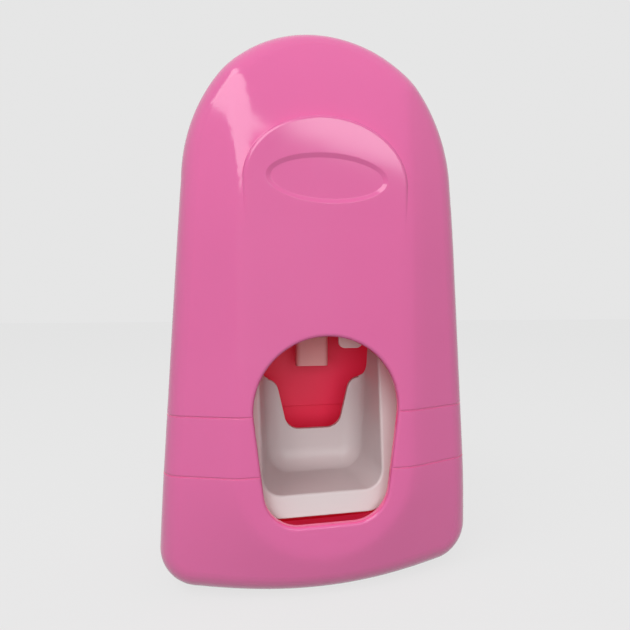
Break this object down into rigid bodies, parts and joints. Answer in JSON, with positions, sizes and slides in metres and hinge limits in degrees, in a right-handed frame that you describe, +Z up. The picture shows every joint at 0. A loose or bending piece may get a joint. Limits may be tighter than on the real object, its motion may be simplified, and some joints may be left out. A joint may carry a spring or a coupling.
{
  "type": "toothpaste dispenser",
  "caption": "Wall-mounted toothpaste dispenser with a domed pink cover, a window and a white push cup that swings back to squeeze a pump bulb and press paste from a nozzle.",
  "frame": {"origin": "centre of the adhesive pad, on the wall plane", "axes": "+X to the right of a user who faces the dispenser, +Y into the wall, +Z up"},
  "size_m": [0.0916, 0.062, 0.1632],
  "materials": {
    "pink_plastic": "glossy moulded ABS",
    "white_plastic": "semi-gloss moulded ABS",
    "natural_plastic": "uncoloured moulded acetal",
    "silicone": "translucent silicone",
    "black_rubber": "moulded rubber",
    "steel": "zinc-plated steel",
    "foam_tape": "closed-cell foam with adhesive faces"
  },
  "bodies": {
    "base": {"back_plate": "pink_plastic", "wall_pad": "foam_tape", "pump_frame": "white_plastic", "frame_screws": "steel", "pivot_pins": "steel", "pin_caps": "steel", "stop_bumpers": "black_rubber", "pump_chamber": "white_plastic", "pump_bulb": "silicone", "bulb_clamp": "white_plastic", "clamp_screws": "steel", "nozzle": "natural_plastic", "nozzle_ring": "white_plastic", "outlet_valve": "silicone", "inlet_valve": "silicone", "tube_socket": "white_plastic", "socket_seal": "black_rubber"},
    "cup": {"push_cup": "white_plastic", "press_pad": "black_rubber", "arm_bushes": "natural_plastic"},
    "cover": {"front_cover": "pink_plastic"}
  },
  "joints": [
    {"name": "cup_push", "type": "hinge", "parent": "base", "child": "cup", "pos_m": [0, -0.034, 0.032], "axis": [1, 0, 0], "range_deg": [0, 9], "stiffness_Nm_per_rad": 1.5, "springref_deg": -2.86, "deforming": ["pump_bulb"]},
    {"name": "cover_pull", "type": "slide", "parent": "base", "child": "cover", "axis": [0, -1, 0], "range_m": [0, 0.07]}
  ]
}
